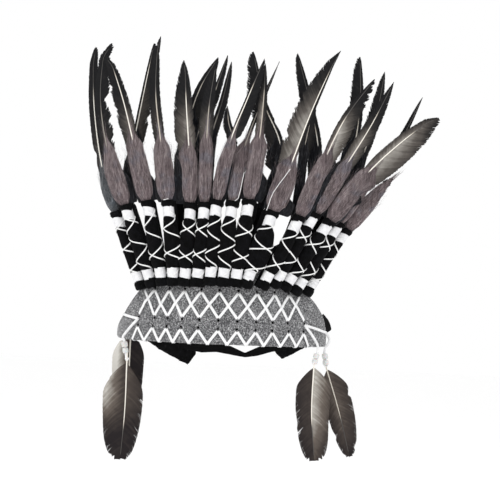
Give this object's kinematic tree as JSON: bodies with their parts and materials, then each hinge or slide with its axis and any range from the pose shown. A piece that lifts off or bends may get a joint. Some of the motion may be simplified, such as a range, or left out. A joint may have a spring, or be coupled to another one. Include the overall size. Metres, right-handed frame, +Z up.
{
  "type": "feathered headdress",
  "caption": "Feathered headdress: a grey felt band with white lacing, cloth-wrapped stems with tall dark feathers, and beaded drops with hanging feathers",
  "frame": {"origin": "middle of the head opening, level with the lower edge of the felt band", "axes": "+X to the headdress's right side as seen from the front, +Y to the back, +Z up; the felt band's front faces -Y"},
  "size_m": [0.3172, 0.1775, 0.3851],
  "materials": {
    "felt": "heathered wool felt, matt",
    "lace": "flat woven lace, matt white",
    "cloth": "black felted cloth, matt",
    "plume": "barred brown-grey to black feather with mauve-grey down",
    "back_feather": "black-grey feather with dark down",
    "drop_feather": "brown and pale grey feather with a pale quill",
    "bead": "off-white opaque bead, soft gloss"
  },
  "bodies": {
    "root": {"felt_band": "felt", "lattice_lace_01": "lace", "lattice_lace_02": "lace", "edge_lace": "lace", "stem_01": "cloth", "stem_02": "cloth", "stem_03": "cloth", "stem_04": "cloth", "stem_05": "cloth", "stem_06": "cloth", "stem_07": "cloth", "stem_08": "cloth", "stem_09": "cloth", "stem_10": "cloth", "stem_11": "cloth", "stem_12": "cloth", "stem_13": "cloth", "stem_14": "cloth", "stem_15": "cloth", "plume_01": "plume", "plume_02": "plume", "plume_03": "plume", "plume_04": "plume", "plume_05": "plume", "plume_06": "plume", "plume_07": "plume", "plume_08": "plume", "plume_09": "plume", "plume_10": "plume", "plume_11": "plume", "plume_12": "plume", "plume_13": "plume", "plume_14": "plume", "plume_15": "plume", "back_feather_01": "back_feather", "back_feather_02": "back_feather", "back_feather_03": "back_feather", "back_feather_04": "back_feather", "back_feather_05": "back_feather", "back_feather_06": "back_feather", "back_feather_07": "back_feather", "back_feather_08": "back_feather", "back_feather_09": "back_feather", "back_feather_10": "back_feather", "tab_left": "cloth", "tab_right": "cloth", "back_elastic": "cloth", "drop_lace_left": "lace", "drop_lace_right": "lace", "bead_01": "bead", "bead_02": "bead", "bead_03": "bead", "bead_04": "bead", "bead_05": "bead", "bead_06": "bead", "drop_feather_01": "drop_feather", "drop_feather_02": "drop_feather", "drop_feather_03": "drop_feather", "drop_feather_04": "drop_feather"}
  },
  "joints": []
}
